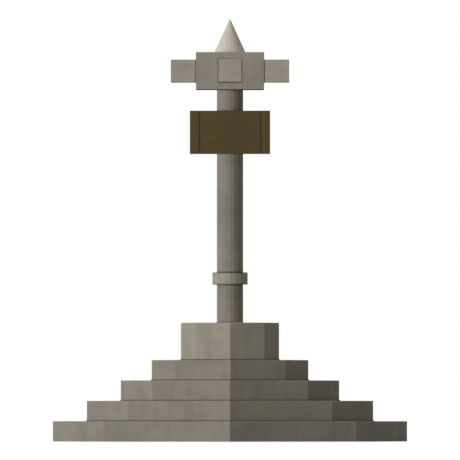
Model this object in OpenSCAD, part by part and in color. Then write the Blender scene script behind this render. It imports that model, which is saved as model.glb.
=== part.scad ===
// Market cross: an octagonal flight of steps, a socket stone, a faceted shaft with a collar,
// a boarded oak casing round the shaft, and a head block with four arms and a pointed finial.
// Millimetres, +Z up. The origin is the centre of the base, on the ground; -Y is the front.

/* [Steps] */
// Corner radius of the bottom step
bottom_step_r = 2610; // [2400:10:2900]
// Corner radius of the second step
second_step_r = 2110; // [1900:10:2300]
// Corner radius of the third step
third_step_r = 1610; // [1450:10:1800]
// Corner radius of the top step
top_step_r = 1155; // [1000:5:1350]
// Rise of each step
step_rise = 300; // [200:10:350]
// How far each course is bedded in under the one above, measured at the corners
step_lap = 150; // [100:10:300]

/* [Socket stone] */
// Corner radius of the socket stone
socket_r = 725; // [600:5:850]
// Height of the socket stone
socket_h = 550; // [400:10:700]

/* [Shaft] */
// Number of flats worked round the shaft, collar and finial
shaft_flats = 20; // [16, 20, 24]
// Corner radius of the shaft
shaft_r = 193; // [150:1:230]
// Height of the shaft between the socket stone and the head block
shaft_h = 3430; // [3300:10:4000]
// Corner radius of the collar
collar_r = 260; // [240:5:320]
// Height of the collar
collar_h = 180; // [120:10:240]
// Height of the collar's bed above the socket stone
collar_rise = 560; // [400:10:900]

/* [Oak casing] */
// Width of the casing over its corner posts
casing_w = 1180; // [1000:10:1300]
// Height of the casing
casing_h = 625; // [450:5:700]
// Height of the casing's underside above the socket stone
casing_rise = 2490; // [1200:10:2550]
// Side of each square corner post
post_w = 140; // [120:5:160]
// Thickness of the side boards
board_t = 40; // [25:1:50]
// How far the side boards stand back from the face of the posts
board_set_back = 20; // [10:1:30]
// Thickness of the lid and of the soffit
lid_t = 45; // [30:1:60]

/* [Head] */
// Width of the head block on plan
head_w = 1005; // [800:5:1100]
// Height of the head block
head_h = 550; // [450:10:650]
// Side of the square section of the arms
arm_w = 340; // [250:10:380]
// How far the arms stand out from the head block
arm_reach = 370; // [250:10:450]
// Corner radius of the finial at its base
finial_r = 230; // [160:5:260]
// Height of the finial
finial_h = 500; // [350:10:650]

/* [Joints in the stone] */
// Corner radius of the tenons on the shaft
tenon_r = 95; // [60:5:120]
// Length of the tenons on the shaft
tenon_h = 75; // [40:5:80]
// Depth of the sockets that hold the arms
arm_seat = 80; // [40:5:100]
// Depth of the grooves in the posts that hold the side boards
groove_d = 20; // [10:1:25]
// Width of the open joint between the two halves of the lid, and of the soffit
half_gap = 6; // [2:1:10]

/* [Hidden] */
STEP_COUNT = 4;
STEP_SIDES = 8;
socket_z = STEP_COUNT * step_rise;
shaft_z = socket_z + socket_h;
collar_z = shaft_z + collar_rise;
upper_shaft_z = collar_z + collar_h;
casing_z = shaft_z + casing_rise;
head_z = shaft_z + shaft_h;
arm_z = head_z + (head_h - arm_w) / 2;
finial_z = head_z + head_h;
finial_tenon_r = finial_r / 3;
arm_seat_x = head_w / 2 - arm_seat;
board_face = casing_w / 2 - board_set_back;
board_back = board_face - board_t;
post_inner = casing_w / 2 - post_w;

stone = [0.53, 0.51, 0.46];
mid_stone = [0.60, 0.58, 0.52];
pale_stone = [0.72, 0.70, 0.63];
rubble = [0.42, 0.40, 0.36];
oak = [0.30, 0.26, 0.17];

// The sides of an octagon step, in turn from +X (east) through +Y (north)
SIDES = ["ene", "nne", "nnw", "wnw", "wsw", "ssw", "sse", "ese"];
QUARTERS = ["ne", "nw", "sw", "se"];
FACES = ["east", "north", "west", "south"];

// Each ring course: its name, its corner radius, its inner corner radius and its bed height
RINGS = [
  ["bottom_step", bottom_step_r, second_step_r - step_lap, 0],
  ["second_step", second_step_r, third_step_r - step_lap, step_rise],
  ["third_step", third_step_r, top_step_r - step_lap, 2 * step_rise],
];

// The corners of a regular polygon of n sides, the first on +X
function corners(n, r) = [for (k = [0 : n - 1]) r * [cos(360 * k / n), sin(360 * k / n)]];

// An upright prism of n flats with its bed at height z
module prism(n, r, h, z = 0) {
  translate([0, 0, z])
    linear_extrude(height = h)
      polygon(corners(n, r));
}

// One dressed stone of a ring course. Its ends are mitred on the arrises of the octagon.
module kerb_stone(ring, side) {
  outer = corners(STEP_SIDES, ring[1]);
  inner = corners(STEP_SIDES, ring[2]);
  next = (side + 1) % STEP_SIDES;
  color(stone)
    translate([0, 0, ring[3]])
      linear_extrude(height = step_rise)
        polygon([inner[side], outer[side], outer[next], inner[next]]);
}

// One of the four slabs of the top step, which meet at the centre under the socket stone
module top_step_slab(quarter) {
  rim = corners(STEP_SIDES, top_step_r);
  first = 2 * quarter;
  color(stone)
    translate([0, 0, 3 * step_rise])
      linear_extrude(height = step_rise)
        polygon([[0, 0], rim[first], rim[first + 1], rim[(first + 2) % STEP_SIDES]]);
}

// The rubble core that fills the ring courses up to the underside of the top step
module hearting() {
  color(rubble)
    for (ring = RINGS)
      prism(STEP_SIDES, ring[2], step_rise, ring[3]);
}

// The socket stone, with the mortise that takes the foot of the shaft
module socket_stone() {
  color(mid_stone)
    difference() {
      prism(STEP_SIDES, socket_r, socket_h, socket_z);
      prism(shaft_flats, tenon_r, tenon_h + 1, shaft_z - tenon_h);
    }
}

// The shaft's lower length, tenoned into the socket stone below and the collar above
module lower_shaft() {
  color(stone) {
    prism(shaft_flats, shaft_r, collar_rise, shaft_z);
    prism(shaft_flats, tenon_r, collar_rise + 1.5 * tenon_h, shaft_z - tenon_h);
  }
}

// The collar drum, mortised in both beds
module collar() {
  color(mid_stone)
    difference() {
      prism(shaft_flats, collar_r, collar_h, collar_z);
      prism(shaft_flats, tenon_r, tenon_h / 2 + 1, collar_z - 1);
      prism(shaft_flats, tenon_r, tenon_h / 2 + 1, upper_shaft_z - tenon_h / 2);
    }
}

// The shaft's upper length, tenoned into the collar below and the head block above
module upper_shaft() {
  length = head_z - upper_shaft_z;
  color(stone) {
    prism(shaft_flats, shaft_r, length, upper_shaft_z);
    prism(shaft_flats, tenon_r, length + 1.5 * tenon_h, upper_shaft_z - tenon_h / 2);
  }
}

// One boarded side of the casing, drawn on the east side and turned. Its ends sit in the posts.
module casing_board(turn) {
  half_w = post_inner + groove_d;
  color(oak)
    rotate(90 * turn)
      translate([board_back, -half_w, casing_z])
        cube([board_t, 2 * half_w, casing_h]);
}

// The four corner posts of the casing, each grooved for the boards of its two sides
module casing_posts() {
  color(oak)
    for (turn = [0 : 3])
      rotate(90 * turn)
        translate([0, 0, casing_z])
          linear_extrude(height = casing_h)
            difference() {
              translate([post_inner, post_inner])
                square(post_w);
              translate([board_back, post_inner - 1])
                square([board_t, groove_d + 1]);
              translate([post_inner - 1, board_back])
                square([groove_d + 1, board_t]);
            }
}

// Two half panels that fit inside the boards and posts and are cut to the shaft
module scribed_panel(z) {
  color(oak)
    translate([0, 0, z])
      linear_extrude(height = lid_t)
        difference() {
          union() {
            square([2 * board_back, 2 * post_inner], center = true);
            square([2 * post_inner, 2 * board_back], center = true);
          }
          polygon(corners(shaft_flats, shaft_r));
          square([half_gap, 2 * casing_w], center = true);
        }
}

// The top of the casing
module casing_lid() {
  scribed_panel(casing_z + casing_h - lid_t);
}

// The underside of the casing
module casing_soffit() {
  scribed_panel(casing_z);
}

// The head block, with a socket in each face for an arm and a mortise in each bed
module head_block() {
  color(mid_stone)
    difference() {
      translate([-head_w / 2, -head_w / 2, head_z])
        cube([head_w, head_w, head_h]);
      for (turn = [0 : 3])
        rotate(90 * turn)
          translate([arm_seat_x, -arm_w / 2, arm_z])
            cube([arm_seat + 1, arm_w, arm_w]);
      prism(shaft_flats, tenon_r, tenon_h + 1, head_z - 1);
      prism(shaft_flats, finial_tenon_r, tenon_h + 1, finial_z - tenon_h);
    }
}

// One arm of the head, drawn on the east side and turned. Its inner end sits in the head block.
module head_arm(turn) {
  color(pale_stone)
    rotate(90 * turn)
      translate([arm_seat_x, -arm_w / 2, arm_z])
        cube([arm_seat + arm_reach, arm_w, arm_w]);
}

// The finial, a steep pyramid of many flats on a tenon
module finial() {
  base = [for (p = corners(shaft_flats, finial_r)) [p[0], p[1], finial_z]];
  apex = [[0, 0, finial_z + finial_h]];
  last = shaft_flats - 1;
  flanks = [for (k = [0 : last]) [shaft_flats, (k + 1) % shaft_flats, k]];
  bed = [[for (k = [0 : last]) k]];
  color(pale_stone) {
    polyhedron(points = concat(base, apex), faces = concat(flanks, bed));
    prism(shaft_flats, finial_tenon_r, tenon_h, finial_z - tenon_h);
  }
}

for (ring = RINGS, side = [0 : STEP_SIDES - 1])
  kerb_stone(ring, side);
for (quarter = [0 : 3])
  top_step_slab(quarter);
hearting();
socket_stone();
lower_shaft();
collar();
upper_shaft();
for (turn = [0 : 3])
  casing_board(turn);
casing_posts();
casing_lid();
casing_soffit();
head_block();
for (turn = [0 : 3])
  head_arm(turn);
finial();
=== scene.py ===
# %% [markdown]
# # A market cross in limestone and oak
# The cross stands on four octagonal steps. A socket stone holds a slender shaft worked to twenty
# flats, with a collar low down, an oak casing high up, and a square head block that carries four
# arms and a pointed finial. The imported model already holds each stone at its real size. This lesson
# gives every piece the look that weather and use have left on it, with some light and shade painted
# into its colour, and never moves or resizes one.

# %% Load the imported cross
from math import atan2, cos, hypot, pi, radians, sin

import bmesh
import bpy
from mathutils import Matrix, Vector, noise


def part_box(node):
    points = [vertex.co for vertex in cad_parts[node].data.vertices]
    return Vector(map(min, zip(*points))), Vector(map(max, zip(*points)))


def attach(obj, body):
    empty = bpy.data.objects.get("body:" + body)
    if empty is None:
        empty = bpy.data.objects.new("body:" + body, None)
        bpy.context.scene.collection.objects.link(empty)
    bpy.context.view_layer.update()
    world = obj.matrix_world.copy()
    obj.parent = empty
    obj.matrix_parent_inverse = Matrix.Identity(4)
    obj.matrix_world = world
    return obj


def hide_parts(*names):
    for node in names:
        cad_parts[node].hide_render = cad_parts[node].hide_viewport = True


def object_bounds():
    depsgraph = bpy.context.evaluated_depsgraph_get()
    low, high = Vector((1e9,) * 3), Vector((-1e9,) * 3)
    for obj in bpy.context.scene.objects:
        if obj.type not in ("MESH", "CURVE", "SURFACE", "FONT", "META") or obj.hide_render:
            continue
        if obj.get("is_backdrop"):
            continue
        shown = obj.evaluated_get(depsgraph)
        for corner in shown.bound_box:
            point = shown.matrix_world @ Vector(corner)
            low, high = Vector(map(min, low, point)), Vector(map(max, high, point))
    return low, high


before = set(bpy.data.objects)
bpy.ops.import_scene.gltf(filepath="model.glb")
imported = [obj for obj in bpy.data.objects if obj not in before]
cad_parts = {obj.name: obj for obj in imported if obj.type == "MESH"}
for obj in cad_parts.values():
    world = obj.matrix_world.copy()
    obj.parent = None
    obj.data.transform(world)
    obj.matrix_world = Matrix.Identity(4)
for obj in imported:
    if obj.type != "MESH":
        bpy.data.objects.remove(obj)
cad_low, cad_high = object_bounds()
print("pieces in the model:", len(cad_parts), "height in metres:", round(cad_high.z, 3))

# %% [markdown]
# ## The camera
# The cross is seen square on, as in an elevation drawing: level lines stay level, and no tread
# shows. A camera set a long way off with a very long lens does that, and unlike an orthographic
# one it still finds the right distance when other views are taken with it. The eye is low, level
# with the steps, where even this slight perspective would bend the long edges first.

# %% Set up the camera
LENS_MM = 1700
MARGIN = 1.0875  # the height of the view over the height of the cross
EYE_HEIGHT = 0.4  # metres above the ground

scene = bpy.context.scene
scene.view_settings.view_transform = "Standard"
half_view = MARGIN * (cad_high.z - cad_low.z) / 2
camera_data = bpy.data.cameras.new("camera")
camera_data.lens = LENS_MM
distance = half_view * 2 * LENS_MM / camera_data.sensor_width
camera_data.clip_start = distance / 10
camera_data.clip_end = distance * 2
camera = bpy.data.objects.new("camera", camera_data)
camera.location = (0, -distance, EYE_HEIGHT)
look_up = atan2((cad_low.z + cad_high.z) / 2 - EYE_HEIGHT, distance)
camera.rotation_euler = (radians(90) + look_up, 0, 0)
scene.collection.objects.link(camera)
scene.camera = camera
print("camera distance in metres:", round(distance))

# %% [markdown]
# ## Colours and nodes
# Colours are written as the hex numbers that a paint chart gives, and one function turns them to
# the linear values that a shader works in. Another adds a node with its settings and its links.
# Patterns are given by their real size in millimetres.
#
# An input goes by its name, or by its number where several share a name. A Mix node takes its share
# at 0 and its two colours at 6 and 7. A Map Range node takes its value at 0, the ends of the range
# that the value comes from at 1 and 2, and the ends of the range that it goes to at 3 and 4.

# %% Helpers for materials
def colour(hex_value):
    """A hex sRGB colour as linear red, green, blue and alpha."""
    channels = [int(hex_value[i:i + 2], 16) / 255 for i in (1, 3, 5)]
    return [c / 12.92 if c <= 0.04045 else ((c + 0.055) / 1.055) ** 2.4 for c in channels] + [1]


def size_mm(millimetres):
    """The scale of a texture whose features are about this size."""
    return 1000 / millimetres


def bands_mm(millimetres):
    """The scale of a wave texture with bands this far apart. A scale of 1 gives pi / 10 metres."""
    return 100 * pi / millimetres


def add(tree, kind, inputs=None, **settings):
    """Adds a shader node with its settings.

    An input takes a value, another node's output, or another node, whose first output in use it
    is then linked to.
    """
    node = tree.nodes.new("ShaderNode" + kind)
    for name, value in settings.items():
        setattr(node, name, value)
    for socket, value in (inputs or {}).items():
        if isinstance(value, bpy.types.Node):
            value = next(output for output in value.outputs if output.enabled)
        if isinstance(value, bpy.types.NodeSocket):
            tree.links.new(value, node.inputs[socket])
        else:
            node.inputs[socket].default_value = value
    return node


def start_material(name):
    """A new material with an empty tree, and that tree."""
    material = bpy.data.materials.new(name)
    material.use_nodes = True
    material.node_tree.nodes.clear()
    return material, material.node_tree


print("mid grey is", [round(c, 3) for c in colour("#808080")])

# %% [markdown]
# ## Weathered limestone
# The cross is cut from a fine buff-grey limestone, dressed flat and then left to the weather. It is
# dull, with no shine. Three beds of the same quarry were used, each a little paler than the last, so
# one function makes all three. Its layers come first, one function to each, from the stone outwards.
#
# The stone itself has soft clouds of lighter and darker colour, faint level beds and a fine speckle.
# Each stone carries four marks at its points: how near an arris it is, where dirt and painted shade
# darken it, how bright the stone is there, and a number of its own, so that no two stones have the same
# clouds.
# The real grains are under 2 mm, and the speckle is drawn coarser, so that it shows.

# %% The stone's own colour
CLOUDS_MM = 420
BEDS_MM = 70
SPECKLE_MM = 24


def stone_colour(tree, place, own, speckle, body, light, dark):
    """Clouds, level beds and speckle, in the stone's own tone."""
    clouds = add(
        tree,
        "TexNoise",
        {"Vector": place, "W": own, "Scale": size_mm(CLOUDS_MM), "Detail": 4},
        noise_dimensions="4D",
    )
    cloud_share = add(tree, "MapRange", {0: clouds, 1: 0.3, 2: 0.7})
    clouded = add(tree, "Mix", {0: cloud_share, 6: colour(dark), 7: colour(light)}, data_type="RGBA")
    near_body = add(tree, "Mix", {0: 0.5, 6: clouded, 7: colour(body)}, data_type="RGBA")
    layers = add(tree, "Mapping", {"Vector": place, "Scale": (0.15, 0.15, 1)})
    bedding = add(tree, "TexNoise", {"Vector": layers, "Scale": size_mm(BEDS_MM), "Detail": 3})
    banded = add(tree, "MapRange", {0: bedding, 1: 0.3, 2: 0.7, 3: 0.965, 4: 1.035})
    grain = add(tree, "MapRange", {0: speckle, 1: 0.25, 2: 0.75, 3: 0.9, 4: 1.1})
    # The tone mark is the stone's own tone, with painted light and shade in it on some stones and in
    # some places
    tone = add(tree, "Attribute", attribute_name="tone").outputs["Fac"]
    value = add(tree, "Math", {0: grain, 1: banded}, operation="MULTIPLY")
    value = add(tree, "Math", {0: value, 1: tone}, operation="MULTIPLY")
    return add(tree, "HueSaturation", {"Value": value, "Color": near_body})


print("clouds, beds and speckle in mm:", CLOUDS_MM, BEDS_MM, SPECKLE_MM)

# %% [markdown]
# Rain carries soot down the upright faces in soft grey streaks. A noise drawn out ten times along
# the height gives them.

# %% Rain streaks
STREAKS_MM = 120


def rain_streaks(tree, place, own, facing_up, under):
    """Grey streaks down the faces that stand upright."""
    upright = add(tree, "MapRange", {0: facing_up, 1: 0.6, 2: 0.2})
    runs = add(tree, "Mapping", {"Vector": place, "Scale": (1, 1, 0.1)})
    streaks = add(
        tree,
        "TexNoise",
        {"Vector": runs, "W": own, "Scale": size_mm(STREAKS_MM)},
        noise_dimensions="4D",
    )
    streak_share = add(tree, "MapRange", {0: streaks, 1: 0.5, 2: 0.75, 3: 0, 4: 0.22})
    on_sides = add(tree, "Math", {0: streak_share, 1: upright}, operation="MULTIPLY")
    return add(tree, "Mix", {0: on_sides, 6: under, 7: colour("#6E695D")}, data_type="RGBA")


print("streaks in mm:", STREAKS_MM)

# %% [markdown]
# Lichen lives on what faces up. It spreads evenly from where it starts, so it makes round crusts,
# ragged at the rim: pale grey ones and a few of ochre, and more of them where the stone stays damp.
# A Voronoi texture gives each crust its place and its chance of growing large.

# %% Lichen
ROSETTES_MM = 140
DAMP_MM = 900
RAGGED_RIM = (0.09, 0.09, 0.09)  # how far the rims wander, in metres


def lichen(tree, place, ragged, facing_up, under):
    """Round crusts of lichen on the faces that look up."""
    wander = add(
        tree,
        "VectorMath",
        {0: ragged.outputs["Color"], 1: RAGGED_RIM, 2: place},
        operation="MULTIPLY_ADD",
    )
    rosettes = add(tree, "TexVoronoi", {"Vector": wander, "Scale": size_mm(ROSETTES_MM)})
    chance = add(tree, "SeparateColor", {0: rosettes.outputs["Color"]})
    radius = add(tree, "MapRange", {0: chance, 1: 0.3, 2: 1, 3: 0, 4: 0.5})
    inside = add(tree, "Math", {0: radius, 1: rosettes}, operation="SUBTRACT")
    crust = add(tree, "MapRange", {0: inside, 1: 0, 2: 0.06})
    damp = add(tree, "TexNoise", {"Vector": place, "Scale": size_mm(DAMP_MM), "Detail": 2})
    damp_share = add(tree, "MapRange", {0: damp, 1: 0.4, 2: 0.62, 3: 0.05, 4: 0.6})
    grown = add(tree, "Math", {0: crust, 1: damp_share}, operation="MULTIPLY")
    up = add(tree, "MapRange", {0: facing_up, 1: 0.5, 2: 0.85})
    on_tops = add(tree, "Math", {0: grown, 1: up}, operation="MULTIPLY")
    kind = add(tree, "MapRange", {0: chance.outputs["Green"], 1: 0.7, 2: 0.75})
    growth = add(tree, "Mix", {0: kind, 6: colour("#B5B29F"), 7: colour("#A29868")}, data_type="RGBA")
    return add(tree, "Mix", {0: on_tops, 6: under, 7: growth}, data_type="RGBA")


print("lichen crusts and damp patches in mm:", ROSETTES_MM, DAMP_MM)

# %% [markdown]
# Feet and weather rub the arrises back to clean stone here and there, and soot and soil pack into
# the angles, with painted shade laid in with them where one piece meets another. Both follow the marks
# on the mesh, broken up by noise so that they come in patches.

# %% Rubbed arrises, and dirt and painted shade in the angles
# The colour of dirt and of painted shade in the angles between pieces
DIRT_AND_SHADE_ON_STONE = "#5A5549"


def rubbed_and_dirty(tree, speckle, ragged, light, under):
    """Bright worn arrises, then the dark of dirt and painted shade over everything."""
    arris = add(tree, "Attribute", attribute_name="arris").outputs["Fac"]
    rub_share = add(tree, "MapRange", {0: speckle, 1: 0.4, 2: 0.7, 3: 0, 4: 0.5})
    rubbed = add(tree, "Math", {0: arris, 1: rub_share}, operation="MULTIPLY")
    bright = add(tree, "Mix", {0: rubbed, 6: under, 7: colour(light)}, data_type="RGBA")
    # The grime mark holds dirt, and painted shade where one piece meets another
    grime = add(tree, "Attribute", attribute_name="grime").outputs["Fac"]
    packed = add(tree, "MapRange", {0: grime, 1: 0, 2: 0.6})
    patchy = add(tree, "MapRange", {0: ragged, 1: 0.3, 2: 0.6, 3: 0.6, 4: 1})
    # The dark share: dirt, and painted shade in the angles
    dirt = add(tree, "Math", {0: packed, 1: patchy}, operation="MULTIPLY")
    return add(tree, "Mix", {0: dirt, 6: bright, 7: colour(DIRT_AND_SHADE_ON_STONE)}, data_type="RGBA")


print("dirt on stone:", DIRT_AND_SHADE_ON_STONE)

# %% [markdown]
# The surface has the speckle's grit, shallow pits where shells and soft spots have washed out, and
# the slanting marks of the mason's drove, a broad chisel. Real pits and marks are a few millimetres
# apart, and are drawn coarser, so that they show.

# %% The tooled surface
PITS_MM = 38
DROVE_MM = 22
DROVE_DEPTH = 0.12  # of the depth of the pits
RELIEF = 0.003  # metres


def tooled_surface(tree, place, speckle):
    """Bump from grit, pits and drove marks."""
    pits = add(tree, "TexVoronoi", {"Vector": place, "Scale": size_mm(PITS_MM)})
    pit_depth = add(tree, "MapRange", {0: pits, 1: 0.05, 2: 0.3})
    drove = add(
        tree,
        "TexWave",
        {
            "Vector": place,
            "Scale": bands_mm(DROVE_MM),
            "Distortion": 2.5,
            "Detail": 2,
            "Detail Scale": 1.5,
        },
        bands_direction="DIAGONAL",
    )
    marks = add(tree, "Math", {0: drove.outputs["Fac"], 1: DROVE_DEPTH}, operation="MULTIPLY")
    height = add(tree, "Math", {0: speckle, 1: pit_depth, 2: marks}, operation="MULTIPLY_ADD")
    return add(tree, "Bump", {"Height": height, "Distance": RELIEF, "Strength": 0.5})


print("pits and drove marks in mm:", PITS_MM, DROVE_MM)

# %% [markdown]
# Now the layers go together. The roughness is high, and follows the speckle a little.

# %% Make the three limestones
RAGGED_MM = 75


def limestone(name, body, light, dark):
    """Weathered limestone, from the colours of its body and of its lighter and darker clouds."""
    material, tree = start_material(name)
    place = add(tree, "TexCoord").outputs["Object"]
    own = add(tree, "Attribute", attribute_name="own").outputs["Fac"]
    normal = add(tree, "NewGeometry").outputs["Normal"]
    facing_up = add(tree, "SeparateXYZ", {0: normal}).outputs["Z"]
    speckle = add(
        tree,
        "TexNoise",
        {"Vector": place, "Scale": size_mm(SPECKLE_MM), "Detail": 5, "Roughness": 0.7},
    )
    ragged = add(
        tree,
        "TexNoise",
        {"Vector": place, "Scale": size_mm(RAGGED_MM), "Detail": 6, "Roughness": 0.65},
    )
    clean_stone = stone_colour(tree, place, own, speckle, body, light, dark)
    streaked = rain_streaks(tree, place, own, facing_up, clean_stone)
    grown_over = lichen(tree, place, ragged, facing_up, streaked)
    weathered = rubbed_and_dirty(tree, speckle, ragged, light, grown_over)
    roughness = add(tree, "MapRange", {0: speckle, 1: 0.3, 2: 0.7, 3: 0.82, 4: 0.96})
    shader = add(
        tree,
        "BsdfPrincipled",
        {
            "Base Color": weathered,
            "Roughness": roughness,
            "Normal": tooled_surface(tree, place, speckle),
            "IOR": 1.5,
            "Specular IOR Level": 0.2,
        },
    )
    add(tree, "OutputMaterial", {"Surface": shader})
    return material


LIMESTONES = {
    "limestone": limestone("grey_limestone", "#9B9588", "#A8A294", "#8B8579"),
    "mid_limestone": limestone("buff_limestone", "#ADA698", "#BAB3A4", "#9C9587"),
    "pale_limestone": limestone("pale_limestone", "#BCB5A7", "#C8C1B3", "#ABA497"),
}
print("limestones:", [bed.name for bed in LIMESTONES.values()])

# %% [markdown]
# ## Dark oak
# The casing is of oak boards, brushed with a dark stain and oil long ago. Oak is ring-porous: each
# year leaves a band of open, darker pores and a band of dense, lighter wood. A long board cut from
# the log shows those rings as stretched lines and arches. The rings are drawn round an axis that runs
# along each board, so every board carries its own coordinates, along, across and through the wood.
# Long fine checks open where it has dried. The real rings are 2 or 3 mm apart and are drawn at 8 mm,
# so that they show.

# %% Make the oak
RINGS_MM = 8
PORES_MM = 9  # across the grain, and twenty times as long
CHECKS_MM = 16  # across the grain, and fifty times as long


def oak_colour(tree, wood, pores, open_check, body, early, late):
    """Growth rings and pores in the board's own tone, with dark checks, and dirt and painted shade."""
    log = add(tree, "Mapping", {"Vector": wood, "Scale": (0.04, 1, 1)})
    rings = add(
        tree,
        "TexWave",
        {"Vector": log, "Scale": bands_mm(RINGS_MM), "Distortion": 5, "Detail": 3, "Detail Scale": 0.8},
        wave_type="RINGS",
        rings_direction="X",
    )
    ring_share = add(tree, "MapRange", {0: rings.outputs["Fac"], 1: 0.2, 2: 0.9})
    ringed = add(tree, "Mix", {0: ring_share, 6: colour(late), 7: colour(early)}, data_type="RGBA")
    near_body = add(tree, "Mix", {0: 0.45, 6: ringed, 7: colour(body)}, data_type="RGBA")
    fine = add(tree, "MapRange", {0: pores, 1: 0.3, 2: 0.7, 3: 0.86, 4: 1.14})
    tone = add(tree, "Attribute", attribute_name="tone").outputs["Fac"]
    value = add(tree, "Math", {0: fine, 1: tone}, operation="MULTIPLY")
    toned = add(tree, "HueSaturation", {"Value": value, "Color": near_body})
    checked = add(tree, "Mix", {0: open_check, 6: toned, 7: colour("#2B2517")}, data_type="RGBA")
    # Dirt and painted shade where the boards run in behind the posts
    grime = add(tree, "Attribute", attribute_name="grime").outputs["Fac"]
    packed = add(tree, "MapRange", {0: grime, 1: 0, 2: 0.6})
    return add(tree, "Mix", {0: packed, 6: checked, 7: colour("#3B331F")}, data_type="RGBA")


def oak(name, body, early, late):
    """Stained oak, from the colours of its body and of its two bands of growth."""
    material, tree = start_material(name)
    wood = add(tree, "Attribute", attribute_name="grain").outputs["Vector"]
    fibre = add(tree, "Mapping", {"Vector": wood, "Scale": (0.05, 1, 1)})
    pores = add(
        tree,
        "TexNoise",
        {"Vector": fibre, "Scale": size_mm(PORES_MM), "Detail": 4, "Roughness": 0.6},
    )
    splits = add(tree, "Mapping", {"Vector": wood, "Scale": (0.02, 1, 0.6)})
    checks = add(tree, "TexNoise", {"Vector": splits, "Scale": size_mm(CHECKS_MM), "Detail": 2})
    open_check = add(tree, "MapRange", {0: checks, 1: 0.68, 2: 0.73})
    relief = add(tree, "Math", {0: pores, 1: open_check}, operation="SUBTRACT")
    shader = add(
        tree,
        "BsdfPrincipled",
        {
            "Base Color": oak_colour(tree, wood, pores, open_check, body, early, late),
            "Roughness": add(tree, "MapRange", {0: pores, 1: 0.3, 2: 0.7, 3: 0.75, 4: 0.9}),
            "Normal": add(tree, "Bump", {"Height": relief, "Distance": 0.002, "Strength": 0.5}),
            "IOR": 1.5,
            "Specular IOR Level": 0.2,
        },
    )
    add(tree, "OutputMaterial", {"Surface": shader})
    return material


dark_oak = oak("dark_oak", "#635535", "#70613D", "#524628")
print("oak:", dark_oak.name)

# %% [markdown]
# ## Iron, lead, moss and rubble
# The nails are hand-forged iron that has rusted nearly black. A skirt of sheet lead, gone dull and
# grey, is dressed round the foot of the shaft. Soil and moss lodge in the angle at the foot of each
# riser, and rubble and lime fill the steps. All four are rough and dull, and only their mottling
# tells them apart from a flat colour.

# %% Make the small materials
def mottled(name, first, second, patch_mm, metallic, rough, bump_mm):
    """A rough material that wanders between two colours in patches of about the given size."""
    material, tree = start_material(name)
    place = add(tree, "TexCoord").outputs["Object"]
    patches = add(
        tree,
        "TexNoise",
        {"Vector": place, "Scale": size_mm(patch_mm), "Detail": 5, "Roughness": 0.65},
    )
    share = add(tree, "MapRange", {0: patches, 1: 0.35, 2: 0.65})
    mixed = add(tree, "Mix", {0: share, 6: colour(first), 7: colour(second)}, data_type="RGBA")
    bump = add(tree, "Bump", {"Height": patches, "Distance": bump_mm / 1000, "Strength": 0.7})
    shader = add(
        tree,
        "BsdfPrincipled",
        {
            "Base Color": mixed,
            "Metallic": metallic,
            "Roughness": rough,
            "Normal": bump,
            "Specular IOR Level": 0.2,
        },
    )
    add(tree, "OutputMaterial", {"Surface": shader})
    return material


forged_iron = mottled("forged_iron", "#2A2620", "#3F3527", 6, 0.3, 0.7, 1)
sheet_lead = mottled("sheet_lead", "#4E4D4A", "#64635F", 40, 0.0, 0.6, 2)
moss_and_soil = mottled("moss_and_soil", "#4A4638", "#5B5746", 25, 0.0, 0.95, 6)
rubble_core = mottled("rubble_core", "#7A7467", "#938C7E", 140, 0.0, 0.95, 20)
print("small materials:", forged_iron.name, sheet_lead.name, moss_and_soil.name, rubble_core.name)

# %% [markdown]
# ## Cutting a stone from the model
# A piece of the imported model is a set of loose triangles. A copy of it is merged, and its flat faces
# are made whole again. Square arrises are bevelled. The slight ones between the twenty flats of the
# shaft stay sharp, as a mason leaves them. Then the copy is cut on a fine grid, square to the stone's
# own front, which gives the weather points that it can move, with extra cuts where the dirt and painted
# shade end.

# %% Cut a stone
X, Y, Z = range(3)
CELL = 0.05  # metres between cuts
WHOLE = 0.0001  # points closer than this are the same point
ON_CUT = 0.0005  # a point closer to a cut than this is taken to lie on it
CENTRED = 0.01  # a piece whose middle is this close to that of the cross faces no way
LEVEL_ANGLE = radians(1)  # triangles that bend less than this are one face
FLAT_ANGLE = radians(4)  # edges that bend less than this aren't arrises
SLIGHT_ANGLE = radians(30)  # arrises that bend less than this stay sharp
NO_CUTS = ((), (), ())


def copy_of(node):
    """A bmesh of one CAD piece, merged, with each flat area as whole faces."""
    bm = bmesh.new()
    bm.from_mesh(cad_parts[node].data)
    bmesh.ops.remove_doubles(bm, verts=bm.verts[:], dist=WHOLE)
    bmesh.ops.dissolve_limit(bm, angle_limit=LEVEL_ANGLE, verts=bm.verts[:], edges=bm.edges[:])
    return bm


def soften_arrises(bm, radius, segments=3):
    """Rounds the square arrises and keeps the slight ones sharp. New faces get material index 1."""
    bent = [e for e in bm.edges if e.is_manifold and e.calc_face_angle() > FLAT_ANGLE]
    square = [e for e in bent if e.calc_face_angle() > SLIGHT_ANGLE]
    for edge in set(bent) - set(square):
        edge.smooth = False
    rounded = bmesh.ops.bevel(
        bm,
        geom=square,
        offset=radius,
        offset_type="OFFSET",
        segments=segments,
        profile=0.5,
        affect="EDGES",
        clamp_overlap=True,
        material=-1,
    )
    for face in rounded["faces"]:
        face.material_index = 1


def along_axis(axis, length=1.0):
    """A vector of the given length along X, Y or Z."""
    return Vector([length * (i == axis) for i in range(3)])


def cut_at(bm, axis, places):
    """Cuts the mesh right through, square to one axis, at each of the places."""
    for place in places:
        bmesh.ops.bisect_plane(
            bm,
            geom=bm.verts[:] + bm.edges[:] + bm.faces[:],
            plane_co=along_axis(axis, place),
            plane_no=along_axis(axis),
            dist=ON_CUT,
        )


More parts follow.
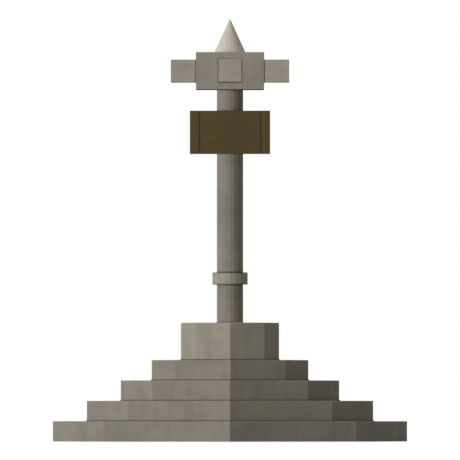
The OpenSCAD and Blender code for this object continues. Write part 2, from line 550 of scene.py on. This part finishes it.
def cut_grid(bm, cells):
    """Cuts the mesh square to X, Y and Z, at about the given spacing. A spacing of 0 makes no cut."""
    for axis, cell in enumerate(cells):
        if cell:
            low = min(v.co[axis] for v in bm.verts)
            high = max(v.co[axis] for v in bm.verts)
            count = max(1, round((high - low) / cell))
            cut_at(bm, axis, [low + (high - low) * k / count for k in range(1, count)])


def heading(bm):
    """The compass direction, from the centre of the cross, that a stone faces."""
    middle = sum((v.co for v in bm.verts), Vector()) / len(bm.verts)
    return atan2(middle.y, middle.x) if hypot(middle.x, middle.y) > CENTRED else 0


def turn(bm, angle):
    """Turns the mesh about the upright axis of the cross."""
    bmesh.ops.rotate(bm, cent=(0, 0, 0), matrix=Matrix.Rotation(angle, 3, "Z"), verts=bm.verts[:])


print("grid in metres:", CELL)

# %% [markdown]
# ## Weathering a stone
# Noise sinks the faces a little and nibbles the arrises more, the upper ones most. All of it moves
# inwards, so no stone grows. A point on an arris never sinks further than its shortest edge, because
# past that the small faces of the rounding would fold over. The same step stores the marks that the
# materials read.

# %% Weather a stone
SLIVER = 0.0008  # points closer than this, where cuts cross an arris, become one
BROAD_HOLLOWS = 2.2  # waves in a metre, as are the next three
FINE_HOLLOWS = 9
BITES = 6
NIBBLES = 17
BROAD_SHARE = 0.7  # of a hollow's depth, and the fine ones make up the rest
EVEN_WEAR = 0.2  # of a chip's depth, lost all along an arris
BITE_START = 0.1  # noise weaker than this takes no bite
BITE_GAIN = 2
UPPER_ARRIS = 0.3  # normals that rise more than this belong to upper arrises
LOWER_CHIPS = 0.4  # how deep the lower arrises are chipped, against the upper ones
OWN_SPREAD = 60  # sets the clouds of one stone far from those of the next
TONE_STEPS = (0.37, 0.71, 0.5)

# Painted light: these gains make some stones paler than the rest of their bed, to make up for light
# that the lamps give them too little of. The east arm gets no bounce from the block's shaded side,
# the upper shaft less bounce and sky light than the steps, and the finial's sloping faces too little
# light from above.
PAINTED_LIGHT_TONES = {
    "upper_shaft": 1.08,
    "collar": 1.095,
    "head_arm_east": 1.09,
    "head_arm_south": 1.01,
    "finial": 1.34,
}


def weather(bm, hollow, chip, grime, tone, shelter):
    """Sinks the faces by up to hollow metres and the arrises by up to chip, and stores the marks."""
    arris_mark = bm.verts.layers.float.new("arris")
    dirt_and_shade_mark = bm.verts.layers.float.new("grime")
    tone_mark = bm.verts.layers.float.new("tone")
    own_mark = bm.verts.layers.float.new("own")
    bm.normal_update()
    for v in bm.verts:
        v[arris_mark] = float(any(f.material_index == 1 for f in v.link_faces))
        v[dirt_and_shade_mark] = grime(v.co, v.normal)
        # The tone mark also takes the painted light and shade of the point's place
        v[tone_mark] = tone * shelter(v.co)
        v[own_mark] = OWN_SPREAD * tone
        broad = 0.5 + 0.5 * noise.noise(v.co * BROAD_HOLLOWS)
        fine = 0.5 + 0.5 * noise.noise(v.co * FINE_HOLLOWS)
        sink = hollow * (BROAD_SHARE * broad + (1 - BROAD_SHARE) * fine)
        if v[arris_mark]:
            bite = noise.noise(v.co * BITES) + 0.5 * noise.noise(v.co * NIBBLES)
            worn = EVEN_WEAR + min(1 - EVEN_WEAR, max(0, bite - BITE_START) * BITE_GAIN)
            sink += chip * worn * (1 if v.normal.z > UPPER_ARRIS else LOWER_CHIPS)
            sink = min(sink, min(e.calc_length() for e in v.link_edges))
        v.co -= v.normal * sink
    for face in bm.faces:
        face.material_index = 0


def clean(co, normal):
    """No dirt or painted shade anywhere."""
    return 0.0


def open_air(co):
    """No painted light: the same tone all over."""
    return 1.0


def spot_of(name, steps):
    """A spot in the noise that belongs to one name, from its letters and its length."""
    per_letter, per_length, level = steps
    return Vector((sum(map(ord, name)) * per_letter, len(name) * per_length, level))


def tone_of(name, spread=0.04):
    """Each piece's own brightness, the same each time, times the painted-light gain of some stones."""
    return PAINTED_LIGHT_TONES.get(name, 1.0) + spread * noise.noise(spot_of(name, TONE_STEPS))


def make_piece(name, bm, material, nodes=()):
    """Makes the object, which stands for its CAD nodes and rides on the cross."""
    mesh = bpy.data.meshes.new(name)
    bm.to_mesh(mesh)
    bm.free()
    mesh.materials.append(material)
    for face in mesh.polygons:
        face.use_smooth = True
    piece = bpy.data.objects.new(name, mesh)
    scene.collection.objects.link(piece)
    flat = piece.modifiers.new("flat faces", "WEIGHTED_NORMAL")
    flat.keep_sharp = True
    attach(piece, "root")
    if nodes:
        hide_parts(*nodes)
    return piece


def stone(node, slot, cells, wear, grime=clean, cuts=NO_CUTS, shelter=open_air):
    """One weathered stone, cut from the CAD piece of that name.

    Its wear is the radius of its arrises, the hollow in its faces and the depth of its chips, all in
    metres. The next argument says where dirt and painted shade darken the stone, and the last one where
    painted light and shade make it paler or darker.
    """
    radius, hollow, chip = wear
    bm = copy_of(node)
    angle = heading(bm)
    turn(bm, -angle)
    soften_arrises(bm, radius)
    cut_grid(bm, cells)
    for axis, places in enumerate(cuts):
        cut_at(bm, axis, places)
    bmesh.ops.remove_doubles(bm, verts=bm.verts[:], dist=SLIVER)
    turn(bm, angle)
    weather(bm, hollow, chip, grime, tone_of(node), shelter)
    return make_piece("worn_" + node, bm, LIMESTONES[slot], [node])


print("paler stones:", len(PAINTED_LIGHT_TONES))

# %% [markdown]
# ## The steps
# Each of the three lower courses is a ring of eight stones that meet on the arrises, and the top
# step is four slabs. Their nosings are rounded by feet. The treads carry dirt and painted shade where
# they run in under the next riser, and so does the foot of each riser. An octagon's corners point
# along X and Y, so its sides face half way between.

# %% Carve the steps
COURSES = ["bottom_step", "second_step", "third_step", "top_step"]
STEP_SIDES = 8
STEP_WEAR = (0.0045, 0.0018, 0.0024)
TREAD_DIRT_AND_SHADE = 0.09  # how far dirt and painted shade spread over a tread from the next riser, in metres
DIRT_AND_SHADE_SPREAD = 0.017  # how far dirt and painted shade spread from any other angle, in metres
LEVEL_FACE = 0.5  # normals that rise more than this belong to level faces


def reach(co, sides=STEP_SIDES):
    """How far out a point is, measured square to the nearest side of a regular polygon."""
    middles = [pi / sides * (2 * k + 1) for k in range(sides)]
    return max(co.x * cos(a) + co.y * sin(a) for a in middles)


def nodes_of(course):
    """The CAD pieces of one course."""
    return sorted(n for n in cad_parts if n.startswith(course + "_"))


def course_reach(nodes):
    """How far out a course comes."""
    return max(reach(v.co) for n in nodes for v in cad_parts[n].data.vertices)


def dirt_in_angles(riser_reach, foot):
    """Dirt and painted shade that fade over a tread away from the next riser, and up the stone's own
    riser.

    On a tread it isn't limited to 0 and 1, so that it stays even between the points of the grid.
    """
    def grime(co, normal):
        if normal.z > LEVEL_FACE:
            return 1 - (reach(co) - riser_reach) / TREAD_DIRT_AND_SHADE
        return max(0.0, 1 - abs(co.z - foot) / DIRT_AND_SHADE_SPREAD) if foot else 0.0
    return grime


step_stones = 0
for index, course in enumerate(COURSES):
    above = ["socket_stone"] if course == "top_step" else nodes_of(COURSES[index + 1])
    foot = max(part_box(n)[1].z for n in nodes_of(COURSES[index - 1])) if index else None
    grime = dirt_in_angles(course_reach(above), foot)
    cuts = ((), (), [foot, foot + DIRT_AND_SHADE_SPREAD] if foot else [])
    for node in nodes_of(course):
        stone(node, "limestone", (CELL, CELL, CELL), STEP_WEAR, grime, cuts)
        step_stones += 1
print("step stones:", step_stones)

# %% [markdown]
# ## Socket stone, shaft and collar
# These are cut the same way. The shaft and the collar are cut level only, so that their twenty flats
# stay crisp from top to bottom. A dark rim of dirt and painted shade lies above and below the collar,
# and wherever the shaft meets another piece. Just under the casing and the head the shaft is painted
# paler, as painted light against the shade that they cast on it.

# %% Carve the socket stone, shaft and collar
SOCKET_WEAR = (0.007, 0.002, 0.0045)
SHAFT_WEAR = (0.003, 0.0008, 0.001)
COLLAR_WEAR = (0.004, 0.001, 0.002)
COLLAR_CELL = 0.03
PAINTED_LIGHT_DROP = 0.6  # how far below an overhang the painted light reaches, in metres
PAINTED_LIGHT_GAIN = 0.15  # how much paler the painted light makes the shaft close under the overhang


def rims(levels, spread=DIRT_AND_SHADE_SPREAD):
    """The levels themselves with one cut on each side, for the dirt and painted shade to end at."""
    return sorted(level + side * spread for level in levels for side in (-1, 0, 1))


def dirt_at(levels, spread=DIRT_AND_SHADE_SPREAD):
    """Dirt and painted shade that fade away above and below each of some levels."""
    def grime(co, normal):
        return max(max(0.0, 1 - abs(co.z - level) / spread) for level in levels)
    return grime


def under_cover(levels):
    """Painted light: paler stone below each level, against the shade of what stands over it."""
    def shelter(co):
        nearest = min((level - co.z for level in levels if level >= co.z), default=PAINTED_LIGHT_DROP)
        return 1 + PAINTED_LIGHT_GAIN * max(0.0, 1 - nearest / PAINTED_LIGHT_DROP)
    return shelter


socket_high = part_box("socket_stone")[1]
collar_low, collar_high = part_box("collar")
casing_low, casing_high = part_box("casing_posts")
head_low, head_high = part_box("head_block")
collar_levels = [collar_low.z, collar_high.z]
shaft_levels = [socket_high.z, *collar_levels, casing_low.z, casing_high.z, head_low.z]

stone("socket_stone", "mid_limestone", (CELL, CELL, CELL), SOCKET_WEAR)
for node in ("lower_shaft", "upper_shaft"):
    stone(
        node,
        "limestone",
        (0, 0, CELL),
        SHAFT_WEAR,
        grime=dirt_at(shaft_levels),
        cuts=((), (), rims(shaft_levels)),
        shelter=under_cover([casing_low.z, head_low.z]),
    )
stone(
    "collar",
    "mid_limestone",
    (0, 0, COLLAR_CELL),
    COLLAR_WEAR,
    grime=dirt_at(collar_levels),
    cuts=((), (), rims(collar_levels)),
)
print("the collar is", round(collar_high.z - collar_low.z, 3), "metres high")

# %% [markdown]
# ## Head block, arms and finial
# The arms are let into sockets in the block. The joint round each arm has lost its mortar, and a
# dark line of dirt and painted shade runs round it on the block and on the root of the arm. The
# finial's foot has the same dark line, and painted shade darkens it a little more, against the light
# that the block throws up onto it. Its point is left sharp.

# %% Carve the head
BLOCK_WEAR = (0.006, 0.002, 0.0036)
ARM_WEAR = (0.005, 0.0015, 0.003)
FINIAL_WEAR = (0.002, 0.001, 0.0008)
UNDER_ARM_PAINTED_LIGHT = 1.16  # the tone of the block below an arm, painted paler against the arm's shadow
FOOT_DIRT_AND_SHADE = 0.009  # the finial's joint is tight, so dirt and painted shade spread less
FOOT_SHADE_REACH = 0.1  # how far up the finial the painted shade reaches, in metres
# How much darker the painted shade makes the finial's foot
FOOT_SHADE_DARK = 0.08

arm_low, arm_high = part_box("head_arm_east")
arm_half = arm_high.y
arm_middle = (arm_low.z + arm_high.z) / 2
head_half = head_high.x


def dirt_round_arms(co, normal):
    """Dirt and painted shade on the faces of the block, just outside the square of each arm."""
    if abs(normal.z) > LEVEL_FACE:
        return 0.0
    beside = min(abs(co.x), abs(co.y))
    out = max(beside - arm_half, abs(co.z - arm_middle) - arm_half)
    return max(0.0, 1 - abs(out) / DIRT_AND_SHADE_SPREAD)


def dirt_on_roots(co, normal):
    """Dirt and painted shade on an arm, close to the face of the block."""
    return max(0.0, 1 - abs(max(abs(co.x), abs(co.y)) - head_half) / DIRT_AND_SHADE_SPREAD)


def under_arms(co):
    """Painted light: the block is paler below each arm, where the arm's shadow falls."""
    below = co.z < arm_middle - arm_half + DIRT_AND_SHADE_SPREAD
    return UNDER_ARM_PAINTED_LIGHT if below and min(abs(co.x), abs(co.y)) < arm_half else 1.0


def splashed(co):
    """Painted shade: the finial is darker at its foot, against the light that the block throws up onto
    it.
    """
    return 1 - FOOT_SHADE_DARK * max(0.0, 1 - (co.z - head_high.z) / FOOT_SHADE_REACH)


beside_arm = [side * (arm_half + DIRT_AND_SHADE_SPREAD) for side in (-1, 1)]
above_arm = [arm_middle + place for place in beside_arm]
stone(
    "head_block",
    "mid_limestone",
    (CELL, CELL, CELL),
    BLOCK_WEAR,
    grime=dirt_round_arms,
    cuts=(beside_arm, beside_arm, above_arm),
    shelter=under_arms,
)
for side in ("east", "north", "west", "south"):
    stone(
        "head_arm_" + side,
        "pale_limestone",
        (CELL, CELL, CELL),
        ARM_WEAR,
        grime=dirt_on_roots,
        cuts=([head_half, head_half + DIRT_AND_SHADE_SPREAD], (), ()),
    )
stone(
    "finial",
    "pale_limestone",
    (0, 0, CELL),
    FINIAL_WEAR,
    grime=dirt_at([head_high.z], FOOT_DIRT_AND_SHADE),
    cuts=((), (), [head_high.z + FOOT_DIRT_AND_SHADE]),
    shelter=splashed,
)
print("the head's arms stand out", round(arm_high.x - head_half, 3), "metres")

# %% [markdown]
# ## Boards for the casing
# Each side of the oak casing is four boards, one above another, held in grooves in the corner posts.
# The lid and the soffit are planks. A board is cut out of the CAD piece between two planes, and the
# cuts are closed. The boards meet in a shallow V, and old ones have moved, so each sits a little in
# or out. Every point also gets its place in the wood, along the grain, across it and through it,
# from a spot in the log that belongs to that board alone.

# %% Cut a board
ON_SAW_CUT = 0.00001  # a point closer to a saw cut than this is taken to lie on it
LOG_REACH = 0.09  # metres from a board to the heart of its log
LOG_LENGTH = 10  # metres of log that boards are taken from
LOG_STEPS = (0.173, 0.41, 0.7)
BOARD_RADIUS = 0.003  # of its arrises, in metres
BOARD_CHIP = 0.0015
BOARD_SPREAD = 0.12  # how much the tones of the boards differ


def cut_out(node, axis, low, high):
    """The part of a CAD piece between two planes square to an axis, closed where it was cut."""
    bm = copy_of(node)
    for place, outward in ((low, -1), (high, 1)):
        cut = bmesh.ops.bisect_plane(
            bm,
            geom=bm.verts[:] + bm.edges[:] + bm.faces[:],
            plane_co=along_axis(axis, place),
            plane_no=along_axis(axis, outward),
            dist=ON_SAW_CUT,
            clear_outer=True,
        )
        rim = [e for e in cut["geom_cut"] if isinstance(e, bmesh.types.BMEdge)]
        if rim:
            bmesh.ops.holes_fill(bm, edges=rim)
    bmesh.ops.recalc_face_normals(bm, faces=bm.faces[:])
    return bm


def work_board(bm, name, order, cells, grime=clean, shift=(0, 0, 0)):
    """Weathers one board. The order says which of X, Y and Z run along, across and through it."""
    bmesh.ops.translate(bm, verts=bm.verts[:], vec=shift)
    soften_arrises(bm, BOARD_RADIUS, 2)
    cut_grid(bm, cells)
    weather(bm, 0, BOARD_CHIP, grime, tone_of(name, BOARD_SPREAD), open_air)
    grain_mark = bm.verts.layers.float_vector.new("grain")
    spot = spot_of(name, LOG_STEPS)
    along, across = LOG_LENGTH * noise.noise(spot), LOG_REACH * noise.noise(spot * 1.7)
    for v in bm.verts:
        v[grain_mark] = Vector([v.co[i] for i in order]) + Vector((along, across, LOG_REACH))


def join(parts):
    """One bmesh from several, with all their marks."""
    whole = bmesh.new()
    for bm in parts:
        carrier = bpy.data.meshes.new("carrier")
        bm.to_mesh(carrier)
        bm.free()
        whole.from_mesh(carrier)
        bpy.data.meshes.remove(carrier)
    return whole


print("arrises of the boards are rounded to", BOARD_RADIUS, "metres")

# %% [markdown]
# ## The oak casing
# The four sides are alike, and so are the lid and the soffit. Dirt and painted shade darken the side
# boards where they run in behind the posts.

# %% Build the casing
BOARDS = 4
PLANKS = 6
BOARD_CELL = 0.1  # metres between cuts along a board
BOARD_MOVE = 0.002  # how far boards have moved in or out, in metres
POST_WIDTH = 0.14  # of the posts in the model, in metres
POST_DIRT_AND_SHADE = 0.01  # how far dirt and painted shade spread from the grooves in the posts, in metres
SIDES = {"east": (X, 1), "north": (Y, 1), "west": (X, -1), "south": (Y, -1)}
post_inner = casing_high.x - POST_WIDTH


def dirt_by_posts(co, normal):
    """Dirt and painted shade beside the inner edges of the posts."""
    return max(0.0, 1 - abs(min(abs(co.x), abs(co.y)) - post_inner) / POST_DIRT_AND_SHADE)


for side, (outward_axis, outward) in SIDES.items():
    node = "casing_board_" + side
    low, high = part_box(node)
    long_axis = Y if outward_axis == X else X
    cells = along_axis(Z, CELL) + along_axis(long_axis, BOARD_CELL)
    rise = (high.z - low.z) / BOARDS
    parts = []
    for k in range(BOARDS):
        bm = cut_out(node, Z, low.z + rise * k, low.z + rise * (k + 1))
        cut_at(bm, long_axis, [s * (post_inner - d) for s in (-1, 1) for d in (0, POST_DIRT_AND_SHADE)])
        moved = BOARD_MOVE * noise.noise(Vector((k * 1.3, ord(side[0]), 0)))
        shift = along_axis(outward_axis, outward * moved)
        name = side + "_board_" + str(k)
        work_board(bm, name, (long_axis, Z, outward_axis), cells, dirt_by_posts, shift)
        parts.append(bm)
    make_piece("oak_" + node, join(parts), dark_oak, [node])

bm = copy_of("casing_posts")
for axis in (X, Y):
    cut_at(bm, axis, [s * (post_inner + POST_DIRT_AND_SHADE) for s in (-1, 1)])
work_board(bm, "corner_posts", (Z, X, Y), (0, 0, BOARD_CELL), dirt_by_posts)
make_piece("oak_casing_posts", bm, dark_oak, ["casing_posts"])

for node in ("casing_lid", "casing_soffit"):
    low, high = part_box(node)
    pitch = (high.x - low.x) / PLANKS
    parts = []
    for k in range(PLANKS):
        bm = cut_out(node, X, low.x + pitch * k, low.x + pitch * (k + 1))
        work_board(bm, node + "_plank_" + str(k), (Y, X, Z), (CELL, BOARD_CELL, 0))
        parts.append(bm)
    make_piece("oak_" + node, join(parts), dark_oak, [node])
print("boards and planks:", len(SIDES) * BOARDS + 2 * PLANKS)

# %% [markdown]
# ## Nails
# The side boards are nailed to the ends and edges of the lid and soffit planks. A forged nail has a
# flat rose head with a few hammered facets, so a cone of six sides, cut off short, is enough.

# %% Drive the nails
NAIL_HEAD = 0.008  # radius of a head in metres
NAIL_DEPTH = 0.006
NAIL_MARGIN = 0.03  # metres from a post

board_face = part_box("casing_board_east")[1].x
levels = [sum(corner.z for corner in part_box(node)) / 2 for node in ("casing_lid", "casing_soffit")]
bm = bmesh.new()
for outward_axis, outward in SIDES.values():
    direction = along_axis(outward_axis, outward)
    long_axis = Y if outward_axis == X else X
    lean = direction.to_track_quat("Z", "Y").to_matrix().to_4x4()
    for level in levels:
        for k in range(PLANKS):
            beside = (k + 0.5 - PLANKS / 2) * pitch
            furthest = post_inner - NAIL_MARGIN
            beside = max(-furthest, min(furthest, beside))
            place = direction * board_face + along_axis(long_axis, beside)
            bmesh.ops.create_cone(
                bm,
                cap_ends=True,
                segments=6,
                radius1=NAIL_HEAD,
                radius2=NAIL_HEAD / 3,
                depth=NAIL_DEPTH,
                matrix=Matrix.Translation(place + along_axis(Z, level)) @ lean,
            )
make_piece("casing_nails", bm, forged_iron)
print("nails:", len(SIDES) * len(levels) * PLANKS)

# %% [markdown]
# ## Moss, soil and lead in the angles
# Soil and moss lodge in the angle at the foot of each riser, and a lead skirt is dressed round the
# foot of the shaft. Both are one small profile carried round the cross. A spin does that: eight
# steps follow the octagon, and twenty follow the shaft. The moss is then cut finely and its bulk is
# varied by noise, so that its edge is uneven.

# %% Fill the angles
SHAFT_FLATS = 20
SUNK = 0.006  # how deep the profile is let into both faces, in metres
LONG_EDGE = 0.04  # level edges longer than this are cut
BROAD_LUMPS = 9  # waves in a metre
FINE_LUMPS = 31
MOSS_SIZE = (0.02, 0.015)  # width and height in metres
MOSS_CUTS = 60
MOSS_UNEVEN = 0.3
LEAD_SIZE = (0.014, 0.014)
LEAD_CUTS = 2
LEAD_UNEVEN = 0.15


def fillet(name, corner_radius, sides, foot, size, material, cuts, uneven):
    """A profile spun round an angle between a level top and an upright face."""
    width, height = size
    bm = bmesh.new()
    profile = [
        (-SUNK, -SUNK),
        (width, -SUNK),
        (width * 0.8, height * 0.25),
        (width * 0.3, height),
        (-SUNK, height),
    ]
    corners = [bm.verts.new((corner_radius + out, 0, foot + up)) for out, up in profile]
    edges = [bm.edges.new(pair) for pair in zip(corners, corners[1:] + corners[:1])]
    bmesh.ops.spin(
        bm,
        geom=corners + edges,
        cent=(0, 0, 0),
        axis=(0, 0, 1),
        angle=2 * pi,
        steps=sides,
        use_merge=True,
    )
    bmesh.ops.remove_doubles(bm, verts=bm.verts[:], dist=WHOLE)
    bmesh.ops.recalc_face_normals(bm, faces=bm.faces[:])
    level = [e for e in bm.edges if abs(e.verts[0].co.z - e.verts[1].co.z) < WHOLE]
    long_edges = [e for e in level if e.calc_length() > LONG_EDGE]
    bmesh.ops.subdivide_edges(bm, edges=long_edges, cuts=cuts, use_grid_fill=True)
    base = corner_radius * cos(pi / sides)
    for v in bm.verts:
        lumps = 0.8 * noise.noise(v.co * BROAD_LUMPS) + 0.4 * noise.noise(v.co * FINE_LUMPS)
        bulk = 1 - uneven * (0.5 + lumps)
        out = reach(v.co, sides)
        scale = (base + (out - base) * bulk) / out
        v.co = Vector((v.co.x * scale, v.co.y * scale, foot + (v.co.z - foot) * bulk))
    return make_piece(name, bm, material)


def corner_of(node):
    """The distance from the middle of the cross to the corners of one of its pieces."""
    return max(hypot(v.co.x, v.co.y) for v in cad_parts[node].data.vertices)


for node in ("second_step_nne", "third_step_nne", "top_step_ne", "socket_stone"):
    fillet(
        "moss_under_" + node.split("_")[0],
        corner_of(node),
        STEP_SIDES,
        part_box(node)[0].z,
        MOSS_SIZE,
        moss_and_soil,
        MOSS_CUTS,
        MOSS_UNEVEN,
    )
shaft_radius = corner_of("upper_shaft")
fillet(
    "lead_skirt",
    shaft_radius,
    SHAFT_FLATS,
    socket_high.z,
    LEAD_SIZE,
    sheet_lead,
    LEAD_CUTS,
    LEAD_UNEVEN,
)
print("the shaft's corner radius in metres:", round(shaft_radius, 3))

# %% [markdown]
# ## Rubble inside
# The steps are filled with rubble and mortar, which can be seen only from below. Its CAD piece keeps
# its shape and takes the rough material.

# %% Finish the hearting
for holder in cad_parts["hearting"].material_slots:
    holder.material = rubble_core
print("hearting is", rubble_core.name)

# %% [markdown]
# ## The floor
# A pale round floor catches the shadow. A camera ray, or one that something glossy or clear sends
# on, sees a light grey with a glow added, which comes out nearly white. All other rays find the
# duller grey of paving, so that it doesn't flood the stone with light from below. Towards its rim
# the floor fades into the white background.

# %% Lay the floor
FLOOR_RADIUS = 11
FLOOR_SIDES = 96
FLOOR_DROP = 0.002  # metres below the foot of the cross, so that the two don't share a plane
FADE_START = 5  # metres from the middle, past the shadow
FLOOR_GLOW = 0.45
FLOOR_SEEN = 0.8
FLOOR_PAVING = 0.25


def seen_directly(tree):
    """1 for a ray from the camera, or one that glossy or clear things send on, else 0."""
    ray = add(tree, "LightPath").outputs
    gloss = {0: ray["Is Camera Ray"], 1: ray["Is Glossy Ray"]}
    seen = add(tree, "Math", gloss, operation="MAXIMUM")
    return add(tree, "Math", {0: seen, 1: ray["Is Transmission Ray"]}, operation="MAXIMUM")


pale_floor, tree = start_material("pale_floor")
seen = seen_directly(tree)
grey = add(tree, "MapRange", {0: seen, 3: FLOOR_PAVING, 4: FLOOR_SEEN})
matt = add(tree, "BsdfDiffuse", {"Color": grey})
glow = add(tree, "Math", {0: seen, 1: FLOOR_GLOW}, operation="MULTIPLY")
pale = add(tree, "Emission", {"Strength": glow})
lit_floor = add(tree, "AddShader", {0: matt, 1: pale})
white = add(tree, "Emission", {"Strength": 1.0})
place = add(tree, "TexCoord").outputs["Object"]
from_middle = add(tree, "VectorMath", {0: place}, operation="LENGTH")
fade = add(tree, "MapRange", {0: from_middle, 1: FADE_START, 2: FLOOR_RADIUS})
faded = add(tree, "Math", {0: fade, 1: seen}, operation="MULTIPLY")
both = add(tree, "MixShader", {0: faded, 1: lit_floor, 2: white})
add(tree, "OutputMaterial", {"Surface": both})

bm = bmesh.new()
bmesh.ops.create_circle(bm, cap_ends=True, segments=FLOOR_SIDES, radius=FLOOR_RADIUS)
bmesh.ops.translate(bm, verts=bm.verts[:], vec=(0, 0, -FLOOR_DROP))
mesh = bpy.data.meshes.new("floor")
bm.to_mesh(mesh)
bm.free()
mesh.materials.append(pale_floor)
floor = bpy.data.objects.new("floor", mesh)
scene.collection.objects.link(floor)
floor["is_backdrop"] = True
print("floor radius in metres:", FLOOR_RADIUS)

# %% [markdown]
# ## The light
# The light is a plain studio's. A very wide soft light low on the left models the upright faces, and
# a weak one on the right lifts those that turn away from it. Neither casts a shadow, so the head and
# the casing don't darken the shaft. A lamp overhead lights the treads and lays the shadow on the
# floor, and one behind lights the back.

# %% Light the cross
def soft_light(name, heading_degrees, height_degrees, strength, width_degrees, shadow=True):
    """A sun lamp. Its heading is counted from the front, towards the left, and its height upwards."""
    left, up = radians(heading_degrees), radians(height_degrees)
    towards = Vector((-sin(left) * cos(up), -cos(left) * cos(up), sin(up)))
    data = bpy.data.lights.new(name, "SUN")
    data.energy = strength
    data.angle = radians(width_degrees)
    data.use_shadow = shadow
    lamp = bpy.data.objects.new(name, data)
    lamp.rotation_euler = (-towards).to_track_quat("-Z", "Y").to_euler()
    scene.collection.objects.link(lamp)
    print(name, "strength", strength, "height", height_degrees)


soft_light("side_light", 56, 15, 1.87, 36, shadow=False)
soft_light("fill_light", -40, 0, 0.3, 60, shadow=False)
soft_light("top_light", 56, 80, 1.2, 30)
soft_light("back_light", 180, 20, 0.9, 20)

# %% [markdown]
# ## The background
# The world adds a faint even light to the cross, and looks white to the camera, at strength 1.

# %% Make the world
WORLD_LIGHT = 0.06
WORLD_SEEN = 1.0

world = bpy.data.worlds.new("studio")
scene.world = world
world.use_nodes = True
tree = world.node_tree
tree.nodes.clear()
strength = add(tree, "MapRange", {0: seen_directly(tree), 3: WORLD_LIGHT, 4: WORLD_SEEN})
sky = add(tree, "Background", {"Color": (1, 1, 1, 1), "Strength": strength})
add(tree, "OutputWorld", {"Surface": sky})
print("the world lights at", WORLD_LIGHT, "and looks", WORLD_SEEN)

# %% [markdown]
# ## Finish
# The size of what is drawn is printed.

# %% Write the sizes and finish
low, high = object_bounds()
print("size of the cross in metres:", [round(c, 3) for c in high - low])
